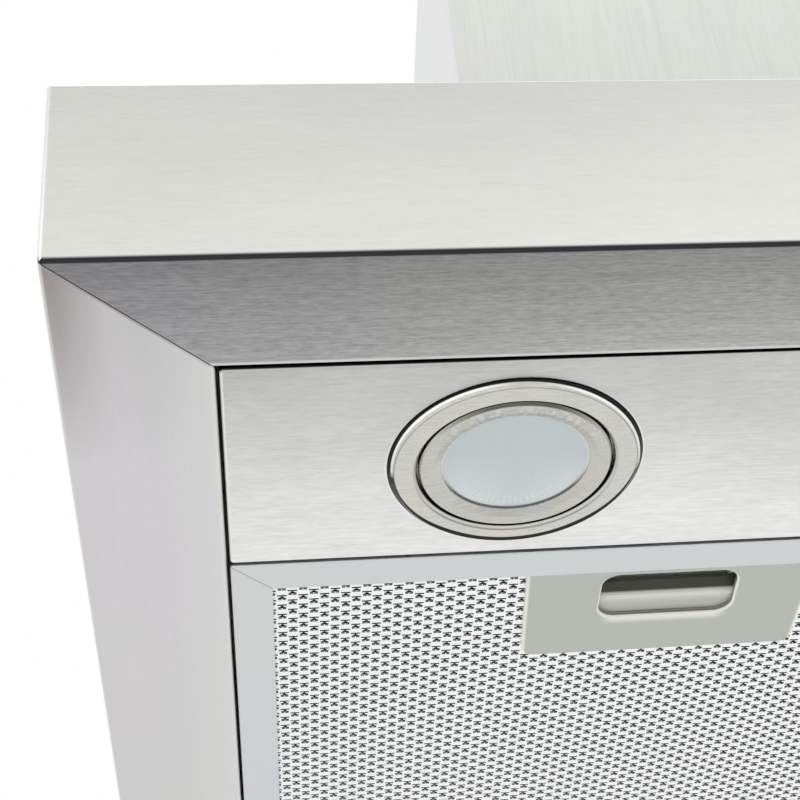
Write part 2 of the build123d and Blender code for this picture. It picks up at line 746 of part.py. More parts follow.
def motor_shaft():
    start = MOTOR_FACE + 8
    return rod(SHAFT_R, (start, WHEEL_Y, WHEEL_Z), 12 - start, "X")


def impeller():
    """A double wheel: two rims, a middle disc with its hub, and forward-leaning blades."""
    rim, lean = 2.0, 35
    inner = WHEEL_R - BLADE_D
    ring = Circle(WHEEL_R) - Circle(inner)
    blade = Rot(0, 0, lean) * Rectangle(BLADE_D + 1.5, 1.0)
    spots = PolarLocations(WHEEL_R - BLADE_D / 2, BLADES)
    blades = Sketch() + [spot * blade for spot in spots]
    cage = extrude(wheel_plane(0) * blades, amount=WHEEL_L / 2 - 0.5, both=True)
    for x in (-WHEEL_L / 2, WHEEL_L / 2 - rim):
        cage += extrude(wheel_plane(x) * ring, amount=rim)
    cage += rod(WHEEL_R - 1, (-1, WHEEL_Y, WHEEL_Z), 2, "X")
    cage += rod(12, (-4, WHEEL_Y, WHEEL_Z), 16, "X")
    return cage - rod(SHAFT_R, (-10, WHEEL_Y, WHEEL_Z), 30, "X")


# Duct collar and damper


def outlet_collar():
    low = BOX_TOP
    inner = COLLAR_R - COLLAR_WALL
    seat = PIN_UP - PIN_R - PIN_FIT - FLAP_T - 0.6 - CHIMNEY_SEAT
    points = [(inner, low), (COLLAR_R + COLLAR_FLANGE, low), (COLLAR_R + COLLAR_FLANGE, low + FLANGE_T),
              (COLLAR_R, low + FLANGE_T), (COLLAR_R, low + FLANGE_T + COLLAR_H),
              (inner, low + FLANGE_T + COLLAR_H), (inner, seat), (inner - LEDGE, seat),
              (inner - LEDGE, seat - 2), (inner, seat - 2)]
    collar = turned(points, (0, COLLAR_Y, 0))
    collar -= rod(PIN_R, (-COLLAR_R - 1, COLLAR_Y, PIN_UP), 2 * COLLAR_R + 2, "X")
    for x, y in collar_screw_places():
        collar -= rod(SCREW_R + SCREW_FIT, (x, y, low - 1), FLANGE_T + 2)
    return collar


def damper_pin():
    return rod(PIN_R, (-COLLAR_R, COLLAR_Y, PIN_UP), 2 * COLLAR_R, "X")


def damper_flap(side, knuckles, notches):
    """Half a disc that hangs on the pin by its knuckles, clear of the other half's, and lies on
    the collar's ledge."""
    radius = COLLAR_R - COLLAR_WALL - FLAP_FIT
    wall = 1.4
    knuckle = PIN_R + PIN_FIT + wall
    clear = 0.5
    top = PIN_UP - PIN_R - PIN_FIT - 0.6
    disc = rod(radius, (0, COLLAR_Y, top - FLAP_T), FLAP_T)
    near = COLLAR_Y + side * clear / 2
    far = COLLAR_Y + side * radius
    arm_end = COLLAR_Y + side * knuckle
    notch_end = COLLAR_Y + side * (knuckle + clear)
    flap = disc & block(-radius, radius, *sorted((near, far)), top - 5, top + 5)
    for x0, x1 in notches:
        flap -= block(x0 - clear, x1 + clear, *sorted((COLLAR_Y - side, notch_end)), top - 5, top + 5)
    for x0, x1 in knuckles:
        flap += rod(knuckle, (x0, COLLAR_Y, PIN_UP), x1 - x0, "X")
        flap += block(x0, x1, *sorted((near, arm_end)), top - FLAP_T, PIN_UP)
    for x0, x1 in knuckles:
        flap -= rod(PIN_R + PIN_FIT, (x0 - 1, COLLAR_Y, PIN_UP), x1 - x0 + 2, "X")
    return flap


# Switches


def button_places():
    return [(n - (BUTTONS - 1) / 2) * BUTTON_PITCH for n in range(BUTTONS)]


def switch_bezel():
    half = BUTTON_SPAN + BEZEL_SIDE
    tall = BUTTON_R + BEZEL_RIM
    plate = block(-half, half, FRONT - BEZEL_T, FRONT, BUTTON_UP - tall, BUTTON_UP + tall)
    plate = fillet(plate.edges().filter_by(Axis.Y), tall - 0.5)
    plate = fillet(plate.edges().group_by(Axis.Y)[0], 0.6)
    for x in button_places():
        plate -= rod(BUTTON_R + BUTTON_FIT, (x, FRONT - 3, BUTTON_UP), 6, "Y")
    return plate


def switch_block():
    half = BUTTON_SPAN + SWITCH_SIDE
    tall = BUTTON_R + SWITCH_RIM
    start = FRONT + SHEET
    body = block(-half, half, start, start + SWITCH_D, BUTTON_UP - tall, BUTTON_UP + tall)
    for x in button_places():
        body -= rod(BUTTON_R + BUTTON_FIT, (x, start - 1, BUTTON_UP), SWITCH_BORE + 1, "Y")
    return body


def button(x):
    start = FRONT - BEZEL_T - BUTTON_OUT
    cap = rod(BUTTON_R, (x, start, BUTTON_UP), BUTTON_OUT + BEZEL_T + BUTTON_IN, "Y")
    return fillet(cap.edges().group_by(Axis.Y)[0], BUTTON_EDGE)


# Wiring box, capacitor and cord gland


def junction_sides():
    return JUNCTION_X, JUNCTION_X + JUNCTION_W, JUNCTION_UP, JUNCTION_UP + JUNCTION_H


def junction_box():
    x0, x1, z0, z1 = junction_sides()
    back = -SHEET
    wall = 1.8
    box = block(x0, x1, back - JUNCTION_D, back, z0, z1)
    box = fillet(box.edges().filter_by(Axis.Y), 3)
    return box - block(x0 + wall, x1 - wall, back - JUNCTION_D - 1, back - wall, z0 + wall, z1 - wall)


def junction_cover():
    x0, x1, z0, z1 = junction_sides()
    back = -SHEET - JUNCTION_D
    lid = block(x0, x1, back - 2, back, z0, z1)
    return fillet(lid.edges().filter_by(Axis.Y), 3)


def cord_gland():
    flange = 3.0
    points = [(CORD_R, PLATE_LOW - 9), (GLAND_BODY, PLATE_LOW - 9), (GLAND_BODY, CANOPY_TOP),
              (GLAND_BODY + 2.5, CANOPY_TOP), (GLAND_BODY + 2.5, CANOPY_TOP + flange),
              (GLAND_BODY, CANOPY_TOP + flange), (GLAND_BODY - 1, CANOPY_TOP + flange + 8),
              (CORD_R, CANOPY_TOP + flange + 8)]
    return turned(points, (GLAND_X, GLAND_Y, 0))


def capacitor_y():
    return -SHEET - BAND_T - CAPACITOR_R


def run_capacitor():
    can = rod(CAPACITOR_R, (CAPACITOR_X, capacitor_y(), CAPACITOR_UP), CAPACITOR_L, "X")
    return fillet(can.edges(), 1.5)


def capacitor_clip():
    """A band round the capacitor with a foot against the back panel."""
    wide = 12.0
    start = CAPACITOR_X + (CAPACITOR_L - wide) / 2
    centre = (start, capacitor_y(), CAPACITOR_UP)
    band = rod(CAPACITOR_R + BAND_T, centre, wide, "X")
    foot = block(start, start + wide, -SHEET - BAND_T, -SHEET, CAPACITOR_UP - 28, CAPACITOR_UP + 10)
    return band + foot - rod(CAPACITOR_R, (start - 1, capacitor_y(), CAPACITOR_UP), wide + 2, "X")


def all_parts():
    parts = {
        "canopy_front": canopy_front(),
        "canopy_left": canopy_left(),
        "canopy_right": canopy_right(),
        "canopy_back": canopy_back(),
        "canopy_top": canopy_top(),
        "light_panel": light_panel(),
        "panel_screws": panel_screws(),
        "lamp_clips": lamp_clips(),
        "lower_chimney": lower_chimney(),
        "chimney_screws": chimney_screws(),
        "upper_chimney": upper_chimney(),
        "upper_bracket": upper_bracket(),
        "bracket_rivets": bracket_rivets(),
        "blower_box": blower_box(),
        "blower_screws": blower_screws(),
        "scroll_wrap": scroll_wrap(),
        "motor": motor(),
        "motor_bracket": motor_bracket(),
        "motor_mounts": motor_mounts(),
        "motor_shaft": motor_shaft(),
        "impeller": impeller(),
        "outlet_collar": outlet_collar(),
        "damper_pin": damper_pin(),
        "damper_flap_front": damper_flap(-1, FRONT_KNUCKLES, REAR_KNUCKLES),
        "damper_flap_rear": damper_flap(1, REAR_KNUCKLES, FRONT_KNUCKLES),
        "switch_bezel": switch_bezel(),
        "switch_block": switch_block(),
        "junction_box": junction_box(),
        "junction_cover": junction_cover(),
        "cord_gland": cord_gland(),
        "run_capacitor": run_capacitor(),
        "capacitor_clip": capacitor_clip(),
    }
    for number, x in enumerate(button_places(), 1):
        parts[f"button_{number}"] = button(x)
    frame, mesh, handle = filter_frame(), filter_mesh(), filter_handle()
    slide, spring = latch(), latch_spring()
    for name, side in SIDES.items():
        parts[f"scroll_{name}"] = scroll_side(side)
        parts[f"lamp_ring_{name}"] = lamp_ring(side)
        parts[f"lamp_bezel_{name}"] = lamp_bezel(side)
        parts[f"lamp_lens_{name}"] = lamp_lens(side)
        parts[f"lamp_led_{name}"] = lamp_led(side)
        parts[f"lamp_can_{name}"] = lamp_can(side)
        place = Pos(side * FILTER_X, 0, 0)
        parts[f"filter_frame_{name}"] = place * frame
        parts[f"filter_mesh_{name}"] = [place * layer for layer in mesh]
        parts[f"filter_handle_{name}"] = place * handle
        parts[f"latch_{name}"] = place * slide
        parts[f"latch_spring_{name}"] = place * spring
    return parts


os.makedirs("parts", exist_ok=True)
for name, part in all_parts().items():
    pieces = part if isinstance(part, list) else part.solids()
    placed = [Pos(0, 0, -BOLT_UP) * piece for piece in pieces]
    solids = [solid for piece in placed for solid in piece.solids()]
    whole = solids[0] if len(solids) == 1 else Compound(children=solids)
    export_step(whole, f"parts/{name}.step")
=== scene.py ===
from math import cos, pi, radians, sin

import bmesh
import bpy
from mathutils import Matrix, Vector

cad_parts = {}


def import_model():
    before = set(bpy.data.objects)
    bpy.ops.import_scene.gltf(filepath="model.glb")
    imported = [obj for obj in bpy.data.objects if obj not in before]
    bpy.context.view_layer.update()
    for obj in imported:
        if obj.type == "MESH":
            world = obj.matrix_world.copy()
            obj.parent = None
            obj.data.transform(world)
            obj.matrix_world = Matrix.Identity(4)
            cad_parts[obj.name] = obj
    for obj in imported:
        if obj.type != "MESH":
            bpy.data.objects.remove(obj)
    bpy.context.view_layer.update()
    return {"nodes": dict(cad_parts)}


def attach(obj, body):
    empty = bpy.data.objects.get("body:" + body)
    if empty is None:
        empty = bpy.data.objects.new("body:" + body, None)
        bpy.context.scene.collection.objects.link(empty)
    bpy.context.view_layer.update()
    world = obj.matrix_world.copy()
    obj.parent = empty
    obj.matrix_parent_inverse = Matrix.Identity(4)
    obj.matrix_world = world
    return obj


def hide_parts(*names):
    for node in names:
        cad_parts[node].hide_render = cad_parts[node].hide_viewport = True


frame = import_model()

NODES = frame["nodes"]
SIDES = {"left": -1, "right": 1}
X, Y, Z = 0, 1, 2
MM = 0.001

# Sizes of the hood in millimetres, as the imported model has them: x from the middle, y from the
# wall, and heights from the canopy's lower edge, which lies UP below the model's origin

UP = 120.0
GROUND = -UP * MM
FRONT, LIP, BORDER, HALF = -484.0, 61.0, 39.0, 297.1
FILTER_W, FRAME_W = 256.6, 11.6
FILTER_FRONT, FILTER_REAR, FILTER_X = -360.2, -40.2, 129.0
HANDLE_W, HANDLE_D, HANDLE_TAPER, SLOT_HALF = 87.0, 42.4, 1.3, 20.5
HANDLE_FRONT = FILTER_FRONT + FRAME_W
PANEL_FRONT, LEDGE_CREST, SLOT_REAR = -443.9, -331.9, -324.8
LAMP_X, LAMP_Y, LAMP_R, GROOVE_R = 179.9, -402.65, 34.5, 26.9
BEVEL = 1.6

# Filter mesh in millimetres. PITCH_X and PITCH_Y are the steps from opening to opening, and
# MESH_SLIP moves the rows to where the photograph has them. The corners in OPENING and TONGUE,
# and the y of a strand's corners, are measured from an opening's middle. STRAND_TIP and
# STRAND_SHOULDER say how far to its side a strand's tip and shoulder are.

PITCH_X, PITCH_Y = 6.12, 4.76
MESH_SLIP = (-0.95, 1.5)
CELL_TIP, CELL_FLAT = 2.456, 0.604
SHEET_Z, SHEET_T = 2.0, 0.2
OPENING = {"front": (1.46, -1.22), "tip": (1.22, 0.0), "rear": (1.12, 1.35)}
OPENING_INSET = 0.3
BACK_Z, BACK_T = 2.2, 0.15
STRAND_FRONT, STRAND_POINT, STRAND_REAR = -0.27, -0.19, 0.5
STRAND_TIP, STRAND_SHOULDER = 0.14, 0.95
TONGUE = ((-0.66, 2.1), (0.66, 2.1), (0.0, 0.88))
DARK_Z, DARK_T, DARK_W, DARK_STEP = 3.4, 0.4, 1.5, 2.38
MESH_TUCK, HANDLE_LAP_SIDE, HANDLE_LAP_REAR = 6.0, 2.4, 1.2
WELD = 0.02

# Camera, solved from the photograph's straight edges and ellipses. The photograph is the left
# part of a wider picture, so the lens looks past its middle.

PICTURE_PX, SENSOR = 800, 36.0
FOCAL_PX = 2014.87
YAW, PITCH, ROLL = radians(11.646), radians(39.120), radians(-9.447)
CAMERA_AT = Vector((-247.09, -826.86, -454.05)) * MM
MIDDLE_PX = (181.1, 7.6)

# Light: name, place, aim, size and power of each lamp, in metres and watts

LAMPS = [("key", (-2.2, -1.6, 0.9), (0, -0.3, -0.05), (2.2, 1.8), 22),
         ("top", (0.3, -0.2, 2.2), (0, -0.2, 0.1), (2.2, 2.0), 22),
         ("back", (1.4, 1.8, 0.8), (0, -0.2, 0.1), (2.0, 1.6), 16)]
WORLD_LIGHT = 0.75
FLOOR_Z, FLOOR_SIZE = -0.9, 14


def camera():
    """Stands the camera where the photograph was taken from."""
    ahead = Vector((sin(YAW) * cos(PITCH), cos(YAW) * cos(PITCH), sin(PITCH)))
    level = ahead.cross(Vector((0, 0, 1))).normalized()
    rise = level.cross(ahead)
    right = level * cos(ROLL) + rise * sin(ROLL)
    up = rise * cos(ROLL) - level * sin(ROLL)
    lens = bpy.data.cameras.new("camera")
    lens.sensor_width = SENSOR
    lens.lens = FOCAL_PX * SENSOR / PICTURE_PX
    lens.shift_x, lens.shift_y = -MIDDLE_PX[0] / PICTURE_PX, MIDDLE_PX[1] / PICTURE_PX
    lens.clip_start, lens.clip_end = 0.01, 50
    eye = bpy.data.objects.new("camera", lens)
    turn = Matrix((right, up, -ahead)).transposed()
    eye.matrix_world = Matrix.Translation(CAMERA_AT) @ turn.to_4x4()
    bpy.context.scene.collection.objects.link(eye)
    bpy.context.scene.camera = eye


camera()


# Shader expressions


class Number:
    """A value socket that Python's operators work on. Each adds its Math node."""

    def __init__(self, tree, socket):
        self.tree, self.socket = tree, socket

    def math(self, operation, *values):
        """Adds a Math node on the given values, in their order."""
        node = self.tree.nodes.new("ShaderNodeMath")
        node.operation = operation
        for slot, value in zip(node.inputs, values):
            if isinstance(value, Number):
                self.tree.links.new(value.socket, slot)
            else:
                slot.default_value = value
        return Number(self.tree, node.outputs[0])

    def __add__(self, other):
        return self.math("ADD", self, other)

    __radd__ = __add__

    def __sub__(self, other):
        return self.math("SUBTRACT", self, other)

    def __rsub__(self, other):
        return self.math("SUBTRACT", other, self)

    def __mul__(self, other):
        return self.math("MULTIPLY", self, other)

    __rmul__ = __mul__

    def __truediv__(self, other):
        return self.math("DIVIDE", self, other)

    def __rtruediv__(self, other):
        return self.math("DIVIDE", other, self)

    def __pow__(self, other):
        return self.math("POWER", self, other)

    def __abs__(self):
        return self.math("ABSOLUTE", self)

    def most(self, other):
        """The larger of two values, which joins two masks."""
        return self.math("MAXIMUM", self, other)

    def wave(self):
        return self.math("SINE", self)

    def bearing(self, across):
        """The angle of a point this far up and that far across."""
        return self.math("ARCTAN2", self, across)


class Finish:
    """A material. node() adds any node, and the other calls are short names for common ones."""

    def __init__(self, name, **sockets):
        self.material = bpy.data.materials.new(name)
        self.material.use_nodes = True
        self.tree = self.material.node_tree
        self.shader = self.tree.nodes["Principled BSDF"]
        for key, value in sockets.items():
            self.shader.inputs[key.replace("_", " ").title()].default_value = value
        self.place = self.node("TexCoord").outputs["Object"]

    def node(self, kind, settings=None, **inputs):
        """Adds a node: its settings first, then its sockets, by name or as i0, i1 and so on."""
        made = self.tree.nodes.new("ShaderNode" + kind)
        for key, value in (settings or {}).items():
            setattr(made, key, value)
        for key, value in inputs.items():
            number = key[1:].isdigit() and key[0] == "i"
            slot = made.inputs[int(key[1:]) if number else key.replace("_", " ")]
            value = value.socket if isinstance(value, Number) else value
            if isinstance(value, bpy.types.NodeSocket):
                self.tree.links.new(value, slot)
            else:
                slot.default_value = value
        return made

    def number(self, node, output=0):
        return Number(self.tree, node.outputs[output])

    def split(self, vector):
        parts = self.node("SeparateXYZ", Vector=vector)
        return [self.number(parts, n) for n in range(3)]

    def axes(self):
        return self.split(self.place)

    def normal(self):
        return self.split(self.node("NewGeometry").outputs["Normal"])

    def noise(self, stretch, detail=3.0, rough=0.5, shift=(0, 0, 0)):
        """Noise on object coordinates, with its own number of waves per metre on each axis."""
        spot = self.node("Mapping", Vector=self.place, Scale=stretch, Location=shift)
        return self.number(self.node("TexNoise", Vector=spot.outputs[0], Scale=1.0,
                                     Detail=detail, Roughness=rough))

    def level(self, value, low, high, start=0.0, end=1.0):
        """Maps low..high to start..end, held at the ends."""
        return self.number(self.node("MapRange", {"clamp": True}, Value=value, From_Min=low,
                                     From_Max=high, To_Min=start, To_Max=end))

    def fade(self, value, low, high):
        """1 up to low, 0 from high."""
        return self.level(value, low, high, 1.0, 0.0)

    def band(self, offset, core, edge):
        """1 where an offset is within core either way, 0 from edge on."""
        return self.fade(abs(offset), core, edge)

    def spread(self, noise, start, end):
        """Maps the part of its range that fine noise fills to start..end."""
        return self.level(noise, 0.3, 0.7, start, end)

    def clouds(self, noise, start=0.0, end=1.0):
        """Maps the narrower range that coarse noise fills to start..end."""
        return self.level(noise, 0.35, 0.65, start, end)

    def mix(self, share, first, second):
        """Colours are three numbers or sockets."""
        full = [c if isinstance(c, bpy.types.NodeSocket) else (*c, 1.0)
                for c in (first, second)]
        node = self.node("Mix", {"data_type": "RGBA"}, i0=share, i6=full[0], i7=full[1])
        return node.outputs[2]

    def scaled(self, colour, factor):
        """A colour times a value."""
        made = self.node("VectorMath", {"operation": "SCALE"}, i0=colour, Scale=factor)
        return made.outputs[0]

    def link(self, **sockets):
        for key, value in sockets.items():
            slot = self.shader.inputs[key.replace("_", " ").title()]
            value = value.socket if isinstance(value, Number) else value
            self.tree.links.new(value, slot)
        return self

    def surface(self, colour, roughness, height, strength, depth):
        """Links a colour, a roughness, and a height that bumps the surface."""
        bump = self.node("Bump", Strength=strength, Distance=depth, Height=height)
        return self.link(base_color=colour, roughness=roughness, normal=bump.outputs[0])


def srgb(*levels):
    """Linear colour from 0 to 255 display levels."""
    return tuple((c / 255 / 12.92) if c <= 10 else ((c / 255 + 0.055) / 1.055) ** 2.4
                 for c in levels)


def put(finish, *names):
    """Gives CAD nodes a finish."""
    for name in names:
        slots = NODES[name].data.materials
        slots.clear()
        slots.append(finish.material)


def over(height):
    """The z of a height in millimetres above the canopy's lower edge."""
    return GROUND + height * MM


def grain(made, along, line, length):
    """Brush marks: hairlines, wider bands and short dashes that run along one axis."""
    fine, broad, short = [line] * 3, [line / 7] * 3, [line / 1.8] * 3
    fine[along], broad[along], short[along] = length, length / 4, length * 4
    hair = made.noise(fine, 3.0, 0.6)
    band = made.noise(broad, 2.0, 0.5, (3.1, 1.7, 5.3))
    dash = made.noise(short, 2.0, 0.6, (7.7, 2.9, 0.3))
    return hair * 0.4 + band * 0.15 + dash * 0.45


def brushed(made, colour, along, depth, rough, line, length, bump):
    """Adds brush marks along an axis, and a faint tint, to a finish with a base colour."""
    marks = grain(made, along, line, length)
    cloud = made.noise((6, 6, 6), 3.0, 0.5, (1.3, 4.1, 2.2))
    factor = made.spread(marks, -1.0, 1.0) * depth + 1.0
    tint = made.mix(made.clouds(cloud), (1.0, 0.985, 0.995), (0.985, 1.0, 0.985))
    full = made.node("Mix", {"data_type": "RGBA", "blend_type": "MULTIPLY"}, i0=1.0,
                     i6=made.scaled(colour, factor), i7=tint).outputs[2]
    made.surface(full, made.spread(marks, rough - 0.05, rough + 0.06), marks, bump, 0.00006)


def bends(made):
    """1 on rounded bends and edges, whose normals point between the axes."""
    nx, ny, nz = (abs(n) for n in made.normal())
    return made.fade(nx.most(ny).most(nz), 0.93, 0.985)


def from_lamp(x, y):
    """Distance from the nearest lamp's middle in metres, and its parts along x and y.

    The x part grows away from the hood's middle, so it is mirrored between the two lamps.
    """
    dx, dy = abs(x) - LAMP_X * MM, y - LAMP_Y * MM
    return (dx * dx + dy * dy) ** 0.5, dx, dy


# Tones

LIP_STEEL_LEFT, LIP_STEEL = srgb(204, 205, 200), srgb(218, 219, 214)
UNDER_STEEL_LEFT, UNDER_STEEL = srgb(141, 139, 143), srgb(154, 155, 152)
BEND_DARK_REFLECTION, SHADE_AND_REFLECTION_BLACK = srgb(56, 56, 60), (0.02, 0.02, 0.02)
CUT_EDGE, FOLD_HIGHLIGHT = (0.56, 0.56, 0.58), (0.66, 0.66, 0.66)
SIDE_STEEL, SIDE_STEEL_BLUSH = srgb(214, 214, 213), srgb(215, 210, 217)
SIDE_RIM, MITRE_LINE, SIDE_PALE = srgb(150, 142, 138), srgb(168, 158, 151), srgb(226, 226, 224)
SIDE_BEND_HIGHLIGHT = (0.74, 0.74, 0.71)
PANEL_STEEL, PANEL_STEEL_REAR = srgb(194, 195, 191), srgb(234, 234, 232)
ROLLED_HIGHLIGHT, HALO_HIGHLIGHT = (0.96, 0.96, 0.94), (0.97, 0.97, 0.96)
RING_STEEL, RING_STEEL_COOL = srgb(210, 207, 199), srgb(205, 208, 201)
BEVEL_FOOT, BEVEL_HIGHLIGHT, RING_LINE = srgb(84, 82, 78), (1.0, 1.0, 0.99), srgb(70, 68, 64)
GLASS_TONE, GLASS_TONE_LIT = srgb(192, 202, 205), srgb(216, 221, 224)
GLASS_RIB, GLASS_RIM_HIGHLIGHT = (0.83, 0.85, 0.85), (0.88, 0.88, 0.87)
GLASS_RIM_SHADE = srgb(104, 118, 120)
FRAME_TONE, FRAME_TONE_WARM = srgb(213, 217, 220), srgb(216, 218, 219)
SEAM_DARK = (0.08, 0.08, 0.085)
HANDLE_TONE, HANDLE_TONE_COOL = srgb(185, 188, 180), srgb(182, 189, 181)
EDGE_LIGHT, RIM_LIGHT = srgb(236, 236, 228), srgb(250, 250, 243)
SLOT_WALL, SLOT_FOOT = srgb(148, 150, 141), srgb(96, 97, 88)
SLOT_DARK, SLOT_DEEP = srgb(50, 54, 40), srgb(238, 242, 226)
LEDGE_LIGHT, LEDGE_GREY = srgb(206, 207, 198), srgb(188, 189, 181)
CHIMNEY_FACE, CHIMNEY_SIDE = srgb(206, 208, 203), srgb(219, 219, 221)
ZINC_DARK, ZINC_LIGHT = srgb(176, 181, 184), srgb(205, 209, 211)
FLOOR_DARK, FLOOR_LIGHT = srgb(236, 236, 235), srgb(242, 242, 241)
MESH_BRIGHT, MESH_SHADED = srgb(252, 253, 254), srgb(138, 139, 141)


def front_sheet():
    """Slope, lip and border of the front, which are one folded sheet."""
    made = Finish("steel_front_sheet", metallic=1.0)
    x, y, z = made.axes()
    nx, _, nz = made.normal()
    marks = grain(made, X, 2300.0, 66.0)
    cloud = made.noise((7, 9, 12), 3.0, 0.55, (1.3, 4.1, 2.2))
    # Painted light: the lip is darker towards its left end and lighter towards its foot
    lip = made.mix(made.level(x, -HALF * MM, 0.0), LIP_STEEL_LEFT, LIP_STEEL)
    lip = made.scaled(lip, made.level(z, over(2.0), over(LIP), 1.17, 0.98))
    lip = made.scaled(lip, made.clouds(cloud, 0.975, 1.025))
    # Painted reflection: the border is darker than the lip, darker towards its left end, and
    # lighter inwards
    inward = made.level(y, (FRONT + 1) * MM, (FRONT + BORDER) * MM)
    to_middle = made.level(x, -HALF * MM, -HALF * MM * 0.5)
    under = made.mix(to_middle, UNDER_STEEL_LEFT, UNDER_STEEL)
    under = made.scaled(under, made.level(inward, 0, 1, 0.86, 1.42))
    down = made.fade(nz, -0.9, -0.6)
    colour = made.mix(down, lip, under)
    # The brush marks show more on the border than on the lip
    streak = made.level(marks, 0.34, 0.66, -1.0, 1.0) * (down * 0.26 + 0.03) + 1.0
    colour = made.scaled(colour, streak)
    # The bend between lip and border: a dark line of painted reflection, and a paler one at the
    # sheet's left edge
    front = made.fade(y, (FRONT + 3) * MM, (FRONT + 4) * MM)
    lower_bend = made.fade(z, over(0.9), over(1.7)) * made.level(nz, -0.985, -0.9)
    dark = made.level(nx, -0.35, -0.2) * lower_bend * front
    colour = made.mix(dark, colour, BEND_DARK_REFLECTION)
    colour = made.mix(made.fade(nx, -0.25, -0.15), colour, CUT_EDGE)
    # Painted shade darkens faces that look up, and a painted highlight lights the border's inner
    # fold
    colour = made.scaled(colour, made.level(nz, 0.02, 0.2, 1.0, 0.5))
    fold = made.level(y, (FRONT + BORDER - 2.0) * MM, (FRONT + BORDER - 1.5) * MM)
    low = made.fade(z, over(2.5), over(3.0))
    colour = made.mix(fold * low, colour, FOLD_HIGHLIGHT)
    made.surface(colour, made.spread(marks, 0.25, 0.37), marks, 0.3, 0.00005)
    put(made, "canopy_front")


def side_sheets():
    """The left and right sheets, with the mitre at their front ends."""
    made = Finish("steel_side_sheet", metallic=1.0)
    x, y, z = made.axes()
    nz = made.normal()[Z]
    down = made.fade(nz, -0.9, -0.6)
    blush = made.noise((9, 4, 9), 2.0, 0.5, (0.4, 2.2, 8.1))
    under = made.mix(made.clouds(blush), SIDE_STEEL, SIDE_STEEL_BLUSH)
    # The border is darker at its rim near the front corner, with a line along the mitre
    rim = made.level(abs(x), (HALF - 14) * MM, (HALF - 3) * MM)
    ahead = made.fade(y, FRONT * MM, (FRONT + 75) * MM)
    under = made.mix(rim * ahead * 0.75, under, SIDE_RIM)
    under = made.scaled(under, made.level(ahead, 0, 1, 1.0, 0.84))
    mitre = abs(abs(HALF * MM - abs(x)) - (y - FRONT * MM))
    under = made.mix(made.level(mitre, 0.0009, 0.0012, 0.75, 0.0), under, MITRE_LINE)
    colour = made.mix(down, LIP_STEEL, under)
    # It pales towards the filter, and a painted highlight lights its bends and inner fold
    inside = HALF - BORDER
    pale = made.fade(abs(x), inside * MM, (inside + 16) * MM)
    colour = made.mix(pale * 0.55, colour, SIDE_PALE)
    low = made.fade(z, over(2.5), over(3.5))
    fold = made.fade(abs(x), (inside + 1.0) * MM, (inside + 1.5) * MM)
    lit = bends(made) * low
    colour = made.mix(lit.most(fold * low) * 0.8, colour, SIDE_BEND_HIGHLIGHT)
    brushed(made, colour, Y, 0.03, 0.34, 1100.0, 40.0, 0.15)
    put(made, "canopy_left", "canopy_right")


def panel():
    """The light panel, with painted shade for the dark gap at its front edge and round each
    lamp.
    """
    made = Finish("steel_light_panel", metallic=1.0)
    x, y, z = made.axes()
    ny = made.normal()[Y]
    radius = from_lamp(x, y)[0]
    marks = grain(made, X, 1500.0, 55.0)
    cloud = made.noise((11, 16, 11), 3.0, 0.55, (5.3, 2.4, 1.1))
    # Painted light: the panel lightens towards its rear, and clouds vary it at random
    rear = made.level(y, PANEL_FRONT * MM, FILTER_FRONT * MM)
    tone = made.level(rear * 0.75 + cloud * 0.9, 0.3, 1.15)
    colour = made.mix(tone, PANEL_STEEL, PANEL_STEEL_REAR)
    streak = made.level(marks, 0.33, 0.67, -1.0, 1.0)
    colour = made.scaled(colour, streak * 0.11 + 1.0)
    # Painted highlight on the rolled bends, but not on those that face the front
    rolled = bends(made) * made.level(ny, -0.25, -0.15)
    colour = made.mix(rolled * 0.8, colour, ROLLED_HIGHLIGHT)
    # The front edge's lit foot grows from left to right, and the face above it, in the gap, is
    # painted black as shade
    depth = made.level(x, -0.26, 0.15, 0.0004, 0.001)
    gap = made.level(z - depth - GROUND, -0.0001, 0.0001) * made.fade(ny, -0.3, -0.2)
    colour = made.mix(gap, colour, SHADE_AND_REFLECTION_BLACK)
    # Round each lamp a painted highlight, and inside it a painted shadow line at the ring's edge
    halo = made.fade(radius, (LAMP_R + 0.4) * MM, (LAMP_R + 0.9) * MM)
    colour = made.mix(halo * 0.5, colour, HALO_HIGHLIGHT)
    ring = made.fade(radius, (LAMP_R + 0.15) * MM, (LAMP_R + 0.3) * MM)
    colour = made.mix(ring, colour, SHADE_AND_REFLECTION_BLACK)
    made.surface(colour, made.spread(marks, 0.26, 0.38), marks, 0.35, 0.00006)
    put(made, "light_panel")


